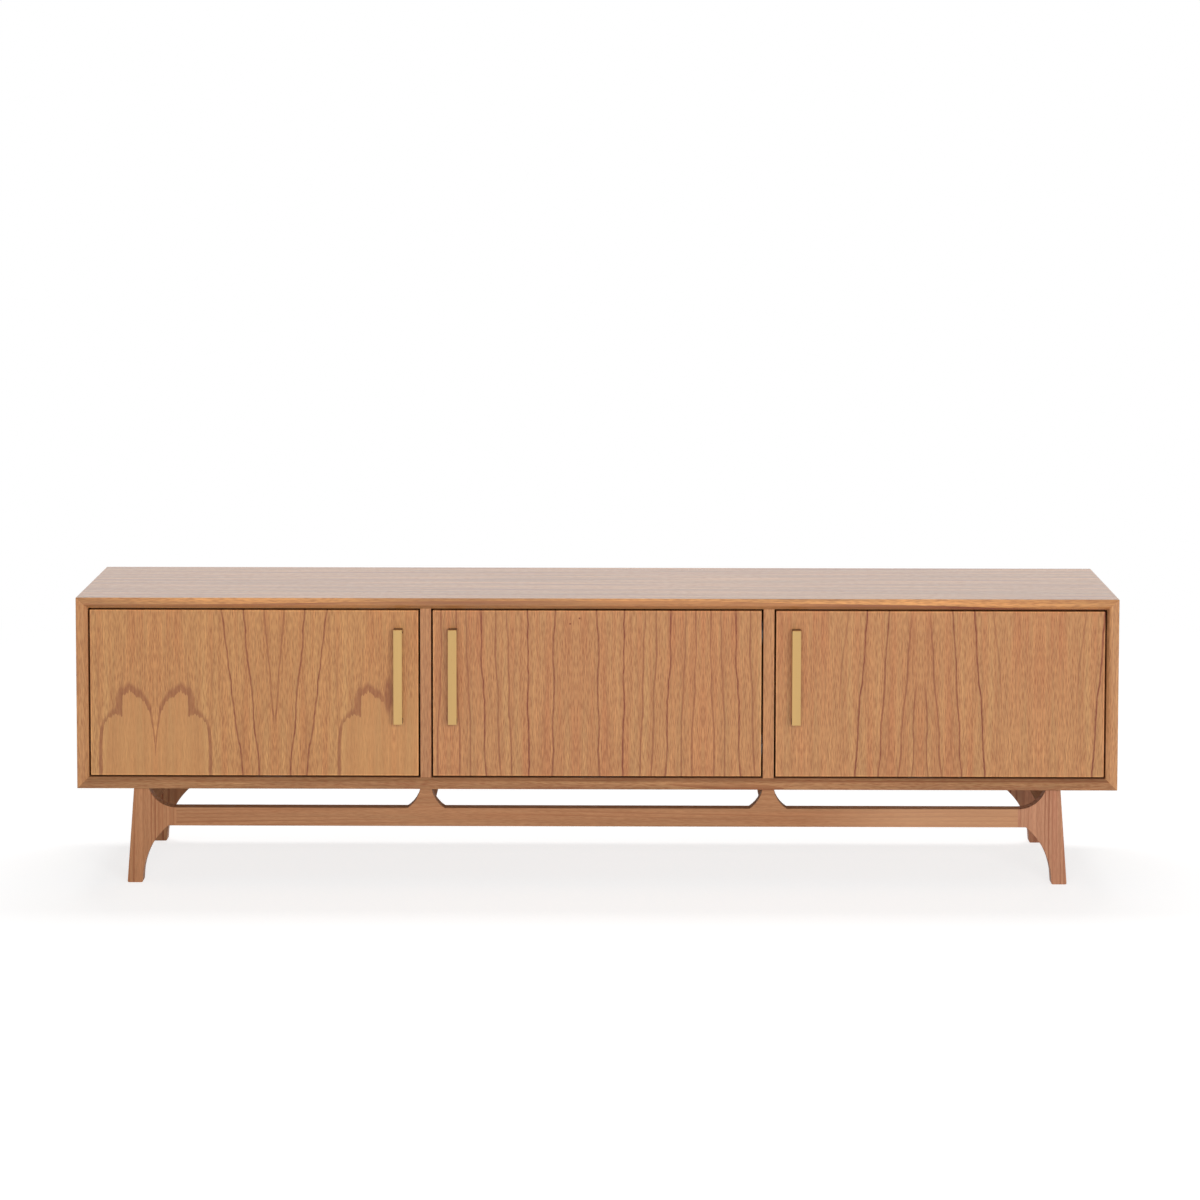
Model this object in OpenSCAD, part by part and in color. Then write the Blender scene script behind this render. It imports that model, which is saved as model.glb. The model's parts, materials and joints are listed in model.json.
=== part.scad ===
// TV stand: a mitred wooden case with three inset doors, on a base of two shaped frames.
// The origin is on the floor, below the middle of the whole object. The front faces -Y.

/* [Case] */
// Width of the case
case_w = 1800; // [1500:10:2100]
// Depth of the case, front edge to rear edge
case_d = 400; // [350:5:480]
// Height of the case without its base
case_h = 333; // [290:1:420]
// Thickness of the top and bottom boards
board_t = 19; // [17:0.5:24]
// Thickness of the side boards
side_t = 20; // [17:0.5:24]
// Thickness of the two dividers
divider_t = 19; // [18:0.5:24]
// Bevel along the inner front edge, across the front and into the depth
bevel = 7; // [3:0.5:10]

/* [Back] */
// Thickness of the back panels
back_t = 6; // [4:0.5:8]
// How far the back panels lie inside the rear edge
back_recess = 4; // [1:0.5:8]
// Width of the rebate that the back panels sit in
rebate_w = 9; // [7:0.5:10]
// Play round each back panel
back_play = 0.3; // [0.1:0.1:0.6]
// Radius of each cable outlet
outlet_r = 30; // [20:1:40]
// Height of the cable outlets above the bottom board
outlet_rise = 75; // [50:1:85]
// Distance from a bay's side to its first back screw
back_screw_in = 45; // [25:1:80]

/* [Doors] */
// Thickness of the doors
door_t = 18; // [16:0.5:20]
// Gap round each door
door_gap = 3; // [2:0.1:4]
// How far the door faces lie behind the front edge of the case
door_recess = 7; // [3:0.5:12]

/* [Pulls] */
// Height of a pull
pull_h = 165; // [100:1:190]
// Width of the flat bar
pull_w = 15; // [12:0.5:24]
// How far a pull stands off the door
pull_reach = 25; // [20:0.5:35]
// Thickness of the flat bar
pull_t = 3; // [2.5:0.5:5]
// Height of the two feet
pull_foot = 8; // [7:0.5:14]
// Radius of the pull's outer bends
pull_bend = 1.5; // [0.5:0.5:2]
// Distance from the door's free edge to the pull
pull_side = 27; // [15:1:60]
// Distance from the door's top to the pull
pull_top = 31; // [20:0.5:60]
// Radius of the pull's screws
pull_screw_r = 2; // [1.5:0.1:2.5]
// Depth of the pull's screws in the feet
pull_bite = 10; // [6:0.5:14]
// Radius of the pan heads
pan_r = 4; // [3.5:0.1:5]
// Height of the pan heads
pan_h = 2.6; // [2:0.1:3.5]

/* [Hinges] */
// Distance from a door's end to the middle of its hinge
hinge_in = 45; // [40:1:70]
// Distance from the door's hinge edge to the pivot
pivot_in = 24; // [23:0.5:28]
// Clearance of the door's front corner to the case as it swings
swing_clear = 0.5; // [0.3:0.1:1]
// Radius of the hinge pins
pin_r = 1.25; // [1:0.05:1.5]
// Running clearance round the hinge pins
pin_play = 0.05; // [0.02:0.01:0.1]
// Radius of the arm's eye
eye_r = 2.8; // [2.4:0.1:3.2]
// Clearance between the eye and the floor of the cup
eye_clear = 0.2; // [0.2:0.1:0.6]
// Outer radius of the cups
cup_r = 17.5; // [17:0.1:18]
// Wall of the cups
cup_wall = 1; // [0.8:0.1:1.2]
// Distance of the cup's middle from the pivot, towards the hinge edge
cup_shift = 1.5; // [0:0.5:2]
// Thickness of the cup's flange
flange_t = 1.2; // [1:0.1:1.6]
// Width of the flange beyond the cup
flange_lip = 1.5; // [1:0.1:2.5]
// Radius of the flange's two ears
ear_r = 6.5; // [5:0.5:8]
// Distance of the ears from the middle of the cup
ear_out = 20; // [18:0.5:24]
// Width of the hinge arms
arm_w = 12; // [10:0.5:14]
// Thickness of the hinge arms
arm_t = 2.5; // [2:0.1:3]
// Clearance between the gooseneck and the door's corner
arm_clear = 1; // [0.6:0.1:2]
// Slope of the arm where it leaves the cup
neck_angle = 45; // [42:1:50]
// Thickness of the mounting plates
plate_t = 3; // [2:0.1:3.4]
// Length of the mounting plates
plate_l = 42; // [38:1:50]
// Width of the mounting plates along the case
plate_w = 14; // [12:0.5:18]
// Distance from the pivot to a mounting plate
plate_start = 20; // [19:0.5:24]
// Distance of the plate's ears from the middle of the hinge
plate_ear = 16; // [14:0.5:20]
// Radius of the arm screws
arm_screw_r = 2.5; // [2:0.1:3]

/* [Catches] */
// Distance from a door's free edge to the middle of its catch
catch_in = 80; // [60:1:140]
// Length of a catch
catch_l = 46; // [40:1:60]
// Depth of a catch
catch_d = 15; // [14:0.5:20]
// Height of a catch
catch_h = 14; // [12:0.5:18]
// Length of a magnet
magnet_l = 22; // [16:1:26]
// Height of a magnet
magnet_h = 6; // [4:0.5:7]
// Depth of a magnet
magnet_d = 8; // [5:0.5:10]
// Length of a strike plate
strike_l = 38; // [28:1:50]
// Height of a strike plate
strike_h = 10; // [9:0.5:13]
// Thickness of a strike plate
strike_t = 1; // [0.8:0.1:1.5]
// Distance from a door's top to its strike plate
strike_in = 0.5; // [0.3:0.1:1.5]
// Gap between a closed door's strike plate and its magnet
strike_gap = 0.5; // [0.3:0.1:1]

/* [Shelves] */
// Thickness of the shelves
shelf_t = 18; // [15:0.5:22]
// Gap at each end of a shelf
shelf_play = 1.5; // [1.2:0.1:3]
// Distance from the case's front edge to the shelves
shelf_front = 52; // [50:1:90]
// Gap for cables behind the shelves
shelf_back = 20; // [5:1:40]
// Spacing of the rows of pin holes
row_pitch = 32; // [24:1:40]
// Rows of pin holes above and below the shelf
spare_rows = 1; // [0:1:2]
// Distance of the pins from the front and rear edges of a shelf
peg_in = 40; // [25:1:70]
// Radius of the shelf pins
peg_r = 2.5; // [2:0.1:3]
// Depth of the pins in the wood
peg_depth = 8; // [6:0.5:8.5]
// Radius of the pin's rest
peg_rest_r = 4; // [3.5:0.1:5]
// Radius of the pin's collar
peg_collar_r = 5; // [4:0.1:6]
// Length of the pin's rest under the shelf
peg_rest = 9; // [6:0.5:12]

/* [Base] */
// Height of the base, floor to case
leg_h = 167; // [140:1:200]
// Thickness of the front and rear frames
frame_t = 28; // [24:0.5:34]
// Distance of the frames from the case's front and rear edges
frame_in = 10; // [5:0.5:30]
// Distance from the case's side to the top of a leg
leg_in = 97; // [60:1:160]
// Width of a leg at its top
leg_top_w = 25.5; // [22:0.5:34]
// Width of a leg at the floor
leg_foot_w = 26.5; // [22:0.5:34]
// How far a foot stands further out than the leg's top
leg_splay = 12.5; // [4:0.5:20]
// Radius of a foot's two lower corners
foot_r = 3; // [1:0.5:6]
// Height of the rails
rail_h = 32; // [26:0.5:36]
// Height of the posts above the rails
post_h = 35; // [28:0.5:40]
// Radius of the curve between a leg and the top of its rail
knee_r = 50; // [42:0.5:56]
// Radius of the curve between a leg and the underside of its rail
arch_r = 124; // [110:1:140]
// Flat length of the rail's underside on the leg
arch_flat = 14; // [8:0.5:18]
// Width of a post at its top
post_w = 20; // [16:0.5:24]
// Radius of the posts' flare
flare_r = 50; // [48:0.5:60]
// Height of the flare's centre above the base
flare_rise = 7; // [3:0.5:8]
// Thickness of the bearers
bearer_t = 19; // [16:0.5:22]
// Height of the bearers
bearer_h = 50; // [42:0.5:60]

/* [Fixings] */
// Radius of the dowels
dowel_r = 4; // [3:0.1:5]
// Depth of a dowel in each of its two pieces
dowel_bite = 16; // [10:0.5:20]
// Distance of the bearer dowels from the bearer's top and bottom
dowel_edge = 12; // [10:0.5:15]
// Distance between the two dowels of a rail joint
rail_dowel_gap = 15; // [13:0.5:16]
// Radius of the small wood screws
screw_r = 1.75; // [1.5:0.05:2]
// Radius of the small screws' heads
screw_head_r = 3.4; // [3:0.1:4]
// Length of the small wood screws
screw_l = 12; // [10:0.5:13]
// Length of the back panel screws
back_screw_l = 20; // [14:0.5:26]
// Radius of the base screws
base_screw_r = 2.5; // [2:0.1:3]
// Radius of the base screws' heads
base_head_r = 5; // [4:0.1:6]
// How far the base screws reach into the bottom board
base_bite = 13; // [8:0.5:15]
// Length of a base screw inside its bearer
base_grip = 35; // [20:0.5:40]
// Distance of the base screws from the ends of a bearer
base_screw_in = 60; // [30:1:100]
// Clearance of fixings in their holes
fit = 0.05; // [0.02:0.01:0.1]

/* [Hidden] */
$fn = 48;
over = 1;
cross = 0.05;

wood = "#bd8a62";
veneer = "#be8c64";
panel_wood = "#b58a66";
brass = "#d2ac6e";
steel = "#b9bcc0";
zinc = "#c9ccd0";
dark_plastic = "#4a4644";
beech = "#dcc19a";

// A door is its bay, counted from the middle, and the side that its hinges are on
LEFT = [-1, -1];
CENTRE = [0, 1];
RIGHT = [1, 1];
BAYS = [-1, 0, 1];
SIDES = [-1, 1];
DOORS = [LEFT, CENTRE, RIGHT];

// Depth: the pulls stand out in front, and the whole is centred on the origin
front_y = (pull_reach - door_recess) / 2 - case_d / 2;
back_y = front_y + case_d;

// Case
top_z = leg_h + case_h;
inner_top = top_z - board_t;
inner_bottom = leg_h + board_t;
clear_h = inner_top - inner_bottom;
inner_x = case_w / 2 - side_t;
clear_w = (2 * inner_x - 2 * divider_t) / 3;
bay_pitch = clear_w + divider_t;
divider_x = bay_pitch / 2;
panel_y = back_y - back_recess - back_t;
back_face_y = back_y - back_recess;
side_rebate = rebate_w * side_t / board_t;

// Doors, with the pivot as far forward as the corner's swing allows
face_y = front_y + door_recess;
door_w = clear_w - 2 * door_gap;
door_bottom = inner_bottom + door_gap;
door_top = inner_top - door_gap;
swing_gap = door_gap - swing_clear;
pivot_back = sqrt(swing_gap * (2 * pivot_in + swing_gap));
pivot_y = face_y + pivot_back;
door_rear = door_t - pivot_back;
free_x = door_w - pivot_in;
hinge_z = [door_bottom + hinge_in, door_top - hinge_in];
pull_x = free_x - pull_side - pull_w;
pull_z = door_top - pull_top - pull_h;
pull_screw_z = [pull_z + pull_foot / 2, pull_z + pull_h - pull_foot / 2];

// Hinges
cup_depth = door_rear + eye_r + eye_clear + cup_wall;
case_side_x = -pivot_in - door_gap;
arc_in = norm([pivot_in, max(pivot_back, door_rear)]) + arm_clear;
arc_out = arc_in + arm_t;
tongue_x = case_side_x + plate_t;
tongue_mid = tongue_x + arm_t / 2;
arc_mid = arc_in + arm_t / 2;
arc_end = acos(tongue_mid / arc_mid);
tongue_start = arc_mid * sin(arc_end);
plate_end = plate_start + plate_l;
ear_screw_y = plate_start + plate_l / 2;
arm_screw_y = plate_end - plate_w / 2;
pin_half = sqrt(pow(cup_r - cup_wall / 2, 2) - cup_shift * cup_shift);

// Catches
catch_x = free_x - catch_in;
catch_y = door_rear + strike_t + strike_gap;
catch_screw_x = magnet_l / 2 + (catch_l - magnet_l) / 4;
strike_z = door_top - strike_in - strike_h;

// Shelves
shelf_z = inner_bottom + (clear_h - shelf_t) / 2;
shelf_y = front_y + shelf_front;
shelf_rear = panel_y - shelf_back;
peg_y = [shelf_y + peg_in, shelf_rear - peg_in];
peg_collar = shelf_play - 0.3;

// Base
rail_top = leg_h - post_h;
rail_bottom = rail_top - rail_h;
frame_front = front_y + frame_in;
frame_rear = back_y - frame_in;
leg_out_x = case_w / 2 - leg_in;
leg_inner_x = leg_out_x - leg_top_w;
foot_out_x = leg_out_x + leg_splay;
foot_inner_x = foot_out_x - leg_foot_w;
knee_drop = max(0, knee_r - post_h);
seam_x = leg_inner_x - sqrt(knee_r * knee_r - knee_drop * knee_drop);
splay = leg_splay / leg_h;
splay_len = norm([1, splay]);
arch_x = seam_x + arch_flat;
arch_side = (foot_inner_x - splay * rail_bottom - arch_x) / splay_len;
arch_drop = sqrt(arch_side * (2 * arch_r - arch_side));
arch_centre = [
    arch_x - (arch_r - arch_side) / splay_len + splay * arch_drop / splay_len,
    rail_bottom - arch_drop / splay_len - splay * (arch_r - arch_side) / splay_len,
];
flare_z = leg_h + flare_rise;
flare_x = post_w / 2 + sqrt(flare_r * flare_r - flare_rise * flare_rise);
bearer_x = [leg_inner_x + bearer_t / 2, divider_x];
bearer_y = [frame_front + frame_t, frame_rear - frame_t];
bearer_dowel_z = [leg_h - dowel_edge, leg_h - bearer_h + dowel_edge];
rail_dowel_z = [for (s = SIDES) rail_bottom + rail_h / 2 + s * rail_dowel_gap / 2];
base_screw_y = [bearer_y[0] + base_screw_in, bearer_y[1] - base_screw_in];

// Block between two opposite corners
module block(a, b) {
    translate(a) cube(b - a);
}

// Prism of an outline in x and z, from y0 to y1
module along_y(y0, y1) {
    translate([0, y1, 0]) rotate([90, 0, 0]) linear_extrude(y1 - y0) children();
}

// Prism of an outline in y and z, from x0 to x1
module along_x(x0, x1) {
    translate([x0, 0, 0]) rotate([90, 0, 90]) linear_extrude(x1 - x0) children();
}

// Turn what points along +Z so that it points along +Y, -Y, +X or -X
module to_back() { rotate([-90, 0, 0]) children(); }
module to_front() { rotate([90, 0, 0]) children(); }
module to_right() { rotate([0, 90, 0]) children(); }
module to_left() { rotate([0, -90, 0]) children(); }

// Countersunk screw, its flat head at the origin and its tip along -Z
module wood_screw(length, r, head_r) {
    rotate_extrude() polygon([
        [0, 0], [head_r, 0], [r, r - head_r], [r, 2 * r - length], [0, -length],
    ]);
}

// The hole that a countersunk screw sits in
module wood_screw_hole(length, r, head_r) {
    rotate_extrude() polygon([
        [0, over], [head_r + fit, over], [head_r + fit, 0], [r + fit, r - head_r],
        [r + fit, -length - fit], [0, -length - fit],
    ]);
}

module small_screw() { wood_screw(screw_l, screw_r, screw_head_r); }
module small_screw_hole() { wood_screw_hole(screw_l, screw_r, screw_head_r); }

// Put a piece of a door or its hinges at the door's pivot, x away from the hinge side
module hang(door) {
    x = door[0] * bay_pitch + door[1] * (clear_w / 2 + case_side_x);
    translate([x, pivot_y, 0])
        if (door[1] > 0) mirror([1, 0, 0]) children();
        else children();
}

// Case boards

// Board with its inner face at z = 0, cut to a mitre at both ends, bevelled and rebated
module mitred_board(t, half_length, mitre, bevel_across, rebate_across) {
    slope = mitre / t;
    intersection() {
        along_x(-half_length - mitre, half_length + mitre) polygon([
            [front_y, t], [front_y, bevel_across], [front_y + bevel, 0],
            [panel_y, 0], [panel_y, rebate_across], [back_y, rebate_across], [back_y, t],
        ]);
        along_y(front_y - over, back_y + over) polygon([
            [-half_length + slope * over, -over], [half_length - slope * over, -over],
            [half_length + mitre + slope * over, t + over],
            [-half_length - mitre - slope * over, t + over],
        ]);
    }
}

module long_board() {
    mitred_board(board_t, inner_x, side_t, bevel, rebate_w);
}

module top_panel() {
    color(wood) difference() {
        translate([0, 0, inner_top]) long_board();
        at_back_screws() back_screw_hole();
        for (door = DOORS) hang(door) at_catch_screws() catch_screw_hole();
    }
}

module bottom_panel() {
    color(wood) difference() {
        translate([0, 0, inner_bottom]) mirror([0, 0, 1]) long_board();
        at_back_screws() back_screw_hole();
        at_base_screws() base_screw_hole();
    }
}

module side_panel(side) {
    color(wood) difference() {
        translate([side * inner_x, 0, (inner_top + inner_bottom) / 2])
            rotate([0, side * 90, 0])
            mitred_board(
                side_t, clear_h / 2, board_t, bevel * side_t / board_t, side_rebate
            );
        at_back_screws() back_screw_hole();
        at_peg_holes(side) peg_hole();
        if (side < 0) plate_screw_holes(LEFT);
        if (side > 0) plate_screw_holes(RIGHT);
    }
}

module divider(side) {
    color(wood) difference() {
        block(
            [side * divider_x - divider_t / 2, face_y, inner_bottom],
            [side * divider_x + divider_t / 2, panel_y, inner_top]
        );
        at_back_screws() back_screw_hole();
        at_peg_holes(side) peg_hole();
        at_peg_holes(0) peg_hole();
        if (side > 0) plate_screw_holes(CENTRE);
    }
}

// Back panels

// Corner positions of a bay's back panel, across
function panel_edge(bay, side) =
    bay * side > 0 ? side * (inner_x + side_rebate - back_play)
    : bay * bay_pitch + side * (bay_pitch / 2 - back_play / 2);

module back_panel(bay) {
    color(panel_wood) difference() {
        block(
            [panel_edge(bay, -1), panel_y, inner_bottom - rebate_w + back_play],
            [panel_edge(bay, 1), back_face_y, inner_top + rebate_w - back_play]
        );
        translate([bay * bay_pitch, panel_y - over, inner_bottom + outlet_rise])
            to_back() cylinder(h = back_t + 2 * over, r = outlet_r);
        at_back_screws() back_screw_hole();
    }
}

// Three screws along the top and the bottom of each panel, and one at each side
module at_back_screws() {
    for (bay = BAYS) {
        for (k = [-1, 0, 1], z = [inner_top + rebate_w / 2, inner_bottom - rebate_w / 2])
            translate([bay * bay_pitch + k * (clear_w / 2 - back_screw_in), back_face_y, z])
                to_back() children();
        for (side = SIDES)
            translate([
                bay * bay_pitch + side * (clear_w / 2 + divider_t / 4), back_face_y,
                (inner_top + inner_bottom) / 2,
            ])
                to_back() children();
    }
}

module back_screw_hole() { wood_screw_hole(back_screw_l, screw_r, screw_head_r); }

module back_panel_screws() {
    color(zinc) at_back_screws() wood_screw(back_screw_l, screw_r, screw_head_r);
}

// Shelves and their pins

module shelf(bay) {
    color(veneer) block(
        [bay * bay_pitch - clear_w / 2 + shelf_play, shelf_y, shelf_z],
        [bay * bay_pitch + clear_w / 2 - shelf_play, shelf_rear, shelf_z + shelf_t]
    );
}

// Every peg place of a bay in the rows given, pointing into the bay
module at_pegs(bay, rows) {
    for (side = SIDES, y = peg_y, row = rows)
        translate([
            bay * bay_pitch + side * clear_w / 2, y, shelf_z + row * row_pitch,
        ])
            if (side > 0) mirror([1, 0, 0]) children();
            else children();
}

module at_peg_holes(bay) { at_pegs(bay, [-spare_rows:spare_rows]) children(); }

module peg_hole() {
    translate([-peg_depth - fit, 0, 0]) to_right()
        cylinder(h = peg_depth + fit + over, r = peg_r + fit);
}

// Pin with a collar and a rest that is flat on top
module peg() {
    translate([-peg_depth, 0, 0]) to_right() cylinder(h = peg_depth, r = peg_r);
    difference() {
        union() {
            to_right() cylinder(h = peg_collar, r = peg_collar_r);
            to_right() cylinder(h = peg_rest, r = peg_rest_r);
        }
        block([peg_collar, -2 * peg_rest_r, 0], [2 * peg_rest, 2 * peg_rest_r, 2 * peg_rest_r]);
    }
}

module shelf_pins() {
    color(steel) for (bay = BAYS) at_pegs(bay, [0]) peg();
}

// Base frames

// Outline of the right leg in x and z
module leg_outline() {
    knee_z = rail_top + knee_r;
    difference() {
        polygon([
            [seam_x, 0], [seam_x, leg_h], [leg_out_x, leg_h], [foot_out_x, 0],
        ]);
        translate([seam_x, knee_z]) circle(knee_r, $fn = 96);
        if (knee_z < leg_h)
            translate([seam_x - knee_r, knee_z]) square([2 * knee_r, post_h]);
        arch();
        foot_corner(foot_out_x, 1);
        foot_corner(foot_inner_x, -1);
    }
}

// What the arch leaves open beside a leg: round below the rail, then straight to the floor
module arch() {
    tangent = arch_centre + arch_r / splay_len * [1, splay];
    left = min(seam_x, arch_centre[0]) - over;
    intersection() {
        translate([left, -over]) square([foot_out_x - left, rail_bottom + over]);
        union() {
            translate(arch_centre) circle(arch_r, $fn = 160);
            polygon([
                arch_centre, tangent, [foot_inner_x + splay * over, -over], [left, -over],
            ]);
        }
    }
}

// What is rounded off a foot's corner at that x; side is 1 outside and -1 inside
module foot_corner(x, side) {
    inset = foot_r - cross;
    out = side * 2 * foot_r * [1, splay] / splay_len;
    translate([x - splay * inset - side * inset * splay_len, inset]) difference() {
        polygon([[0, 0], out, [out[0], -2 * foot_r], [0, -2 * foot_r]]);
        circle(foot_r, $fn = 32);
    }
}

// Outline of a rail with its two flared posts
module rail_outline() {
    translate([-seam_x, rail_bottom]) square([2 * seam_x, rail_h]);
    for (side = SIDES) translate([side * divider_x, 0]) difference() {
        translate([-flare_x, rail_top - over]) square([2 * flare_x, post_h + over]);
        for (s = SIDES) translate([s * flare_x, flare_z]) circle(flare_r, $fn = 128);
    }
}

// Where the front or the rear frame begins, in depth
function frame_y(end) = end < 0 ? frame_front : frame_rear - frame_t;

module leg(side, end) {
    y = frame_y(end);
    color(wood) difference() {
        along_y(y, y + frame_t)
            if (side < 0) mirror([1, 0]) leg_outline();
            else leg_outline();
        at_rail_dowels() dowel_hole();
        at_bearer_dowels() dowel_hole();
    }
}

module rail(end) {
    y = frame_y(end);
    color(wood) difference() {
        along_y(y, y + frame_t) rail_outline();
        at_rail_dowels() dowel_hole();
        at_bearer_dowels() dowel_hole();
    }
}

// Bearer from the front frame to the rear frame; place 0 is at the legs, 1 at the posts
module bearer(side, place) {
    x = side * bearer_x[place];
    color(wood) difference() {
        block(
            [x - bearer_t / 2, bearer_y[0], leg_h - bearer_h],
            [x + bearer_t / 2, bearer_y[1], leg_h]
        );
        at_bearer_dowels() dowel_hole();
        at_base_screws() base_screw_hole();
    }
}

// Dowels, each with its middle at the joint that it closes

module dowel() { cylinder(h = 2 * dowel_bite, r = dowel_r, center = true); }
module dowel_hole() {
    cylinder(h = 2 * (dowel_bite + fit), r = dowel_r + fit, center = true);
}

module at_rail_dowels() {
    for (side = SIDES, end = SIDES, z = rail_dowel_z)
        translate([side * seam_x, frame_y(end) + frame_t / 2, z]) to_right() children();
}

module at_bearer_dowels() {
    for (side = SIDES, x = bearer_x, y = bearer_y, z = bearer_dowel_z)
        translate([side * x, y, z]) to_back() children();
}

module rail_dowels() { color(beech) at_rail_dowels() dowel(); }
module bearer_dowels() { color(beech) at_bearer_dowels() dowel(); }

// Screws that hold the base to the case, sunk into the bearers from below

module at_base_screws() {
    for (side = SIDES, x = bearer_x, y = base_screw_y)
        translate([side * x, y, leg_h - base_grip]) mirror([0, 0, 1]) children();
}

module base_screw_hole() {
    wood_screw_hole(base_grip + base_bite, base_screw_r, base_head_r);
    cylinder(h = bearer_h - base_grip + over, r = base_head_r + 2 * over);
}

module base_screws() {
    color(zinc) at_base_screws()
        wood_screw(base_grip + base_bite, base_screw_r, base_head_r);
}

// Doors

module door_panel(door) {
    color(veneer) hang(door) difference() {
        block([-pivot_in, -pivot_back, door_bottom], [free_x, door_rear, door_top]);
        at_hinges() cup_recess();
        at_door_screws() small_screw_hole();
        at_pull_screws() pull_screw_hole();
    }
}

// Flat bar bent back to the door at both ends
module pull(door) {
    front = -pivot_back - pull_reach;
    top = pull_z + pull_h;
    color(brass) hang(door) difference() {
        along_x(pull_x, pull_x + pull_w) difference() {
            union() {
                translate([front + pull_bend, pull_z])
                    square([pull_reach - pull_bend, pull_h]);
                translate([front, pull_z + pull_bend])
                    square([pull_reach, pull_h - 2 * pull_bend]);
                for (z = [pull_z + pull_bend, top - pull_bend])
                    translate([front + pull_bend, z]) circle(pull_bend);
            }
            translate([front + pull_t, pull_z + pull_foot])
                square([pull_reach, pull_h - 2 * pull_foot]);
        }
        at_pull_screws() pull_screw_hole();
    }
}

// Each pull's two screws, which come through the door from behind
module at_pull_screws() {
    for (z = pull_screw_z) translate([pull_x + pull_w / 2, door_rear, z]) to_front() children();
}

module pull_screw_hole() {
    translate([0, 0, -over])
        cylinder(h = over + door_t + pull_bite + fit, r = pull_screw_r + fit);
}

module pull_screws(door) {
    color(zinc) hang(door) at_pull_screws() {
        cylinder(h = door_t + pull_bite, r = pull_screw_r);
        translate([0, 0, -pan_h]) cylinder(h = pan_h, r = pan_r);
    }
}

// Hinges

// Each hinge of a door: the pivot, at the height of the hinge
module at_hinges() { for (z = hinge_z) translate([0, 0, z]) children(); }

module cup_recess() {
    translate([-cup_shift, door_rear - cup_depth - fit, 0]) to_back()
        cylinder(h = cup_depth + fit + over, r = cup_r + fit);
}

// Cup with a flange and two ears, drilled for its pin and its screws
module hinge_cups(door) {
    color(steel) hang(door) at_hinges() difference() {
        union() {
            translate([-cup_shift, door_rear - cup_depth, 0]) to_back()
                cylinder(h = cup_depth, r = cup_r);
            translate([-cup_shift, door_rear + flange_t, 0]) rotate([90, 0, 0])
                linear_extrude(flange_t) {
                    circle(cup_r + flange_lip);
                    translate([-ear_r, -ear_out]) square([2 * ear_r, 2 * ear_out]);
                    for (s = SIDES) translate([0, s * ear_out]) circle(ear_r);
                }
        }
        translate([-cup_shift, door_rear - cup_depth + cup_wall, 0]) to_back()
            cylinder(h = cup_depth + flange_t, r = cup_r - cup_wall);
        cylinder(h = 2 * cup_r, r = pin_r + pin_play, center = true);
        at_ears() small_screw_hole();
    }
}

// The two ears of a cup's flange
module at_ears() {
    for (s = SIDES)
        translate([-cup_shift, door_rear + flange_t, s * ear_out]) to_back() children();
}

module hinge_pins(door) {
    color(steel) hang(door) at_hinges() cylinder(h = 2 * pin_half, r = pin_r, center = true);
}

// Gooseneck: an eye on the pin, a neck out of the cup, an arc clear of the door's edge,
// and a tongue along the mounting plate
module hinge_arms(door) {
    color(steel) hang(door) at_hinges() difference() {
        translate([0, 0, -arm_w / 2]) linear_extrude(arm_w) difference() {
            union() {
                circle(eye_r);
                rotate(neck_angle) translate([0, -arm_t / 2]) square([arc_mid, arm_t]);
                arm_arc();
                translate([tongue_x, tongue_start])
                    square([arm_t, plate_end - tongue_start]);
            }
            circle(pin_r + pin_play);
        }
        translate([tongue_x + arm_t, arm_screw_y, 0]) to_right() arm_screw_hole();
    }
}

// Part of a ring round the pivot, from the neck to the tongue
module arm_arc() {
    far = 2 * arc_out;
    middle = (neck_angle + arc_end) / 2;
    intersection() {
        difference() {
            circle(arc_out, $fn = 96);
            circle(arc_in, $fn = 96);
        }
        polygon([
            [0, 0],
            far * [cos(neck_angle), sin(neck_angle)],
            far * [cos(middle), sin(middle)],
            far * [cos(arc_end), sin(arc_end)],
        ]);
    }
}

// Plate screwed to the case, with an ear above and below
module hinge_plates(door) {
    color(steel) hang(door) difference() {
        at_hinges() along_x(case_side_x, tongue_x) {
            translate([plate_start, -plate_w / 2]) square([plate_l, plate_w]);
            translate([ear_screw_y - ear_r, -plate_ear])
                square([2 * ear_r, 2 * plate_ear]);
            for (s = SIDES) translate([ear_screw_y, s * plate_ear]) circle(ear_r);
        }
        at_plate_screws() small_screw_hole();
        at_arm_screws() arm_screw_hole();
    }
}

module at_plate_screws() {
    at_hinges() for (s = SIDES)
        translate([tongue_x, ear_screw_y, s * plate_ear]) to_right() children();
}

module plate_screw_holes(door) { hang(door) at_plate_screws() small_screw_hole(); }

// Machine screws that hold the arms to their plates
module at_arm_screws() {
    at_hinges() translate([tongue_x + arm_t, arm_screw_y, 0]) to_right() children();
}

module arm_screw_hole() {
    translate([0, 0, -arm_t - plate_t - over])
        cylinder(h = arm_t + plate_t + 2 * over, r = arm_screw_r + fit);
}

module hinge_arm_screws() {
    color(zinc) for (door = DOORS) hang(door) at_arm_screws() {
        translate([0, 0, -arm_t - plate_t]) cylinder(h = arm_t + plate_t, r = arm_screw_r);
        cylinder(h = pan_h, r = pan_r);
    }
}

// Screws of the cups and the strike plate, in the door
module at_door_screws() {
    at_hinges() at_ears() children();
    at_strike_screw() children();
}

module door_screws(door) { color(zinc) hang(door) at_door_screws() small_screw(); }

// Catches

// Middle of a catch's underside, at its front
module at_catch() { translate([catch_x, catch_y, inner_top - catch_h]) children(); }

module magnet() {
    at_catch() block(
        [-magnet_l / 2, 0, (catch_h - magnet_h) / 2],
        [magnet_l / 2, magnet_d, (catch_h + magnet_h) / 2]
    );
}

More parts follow.
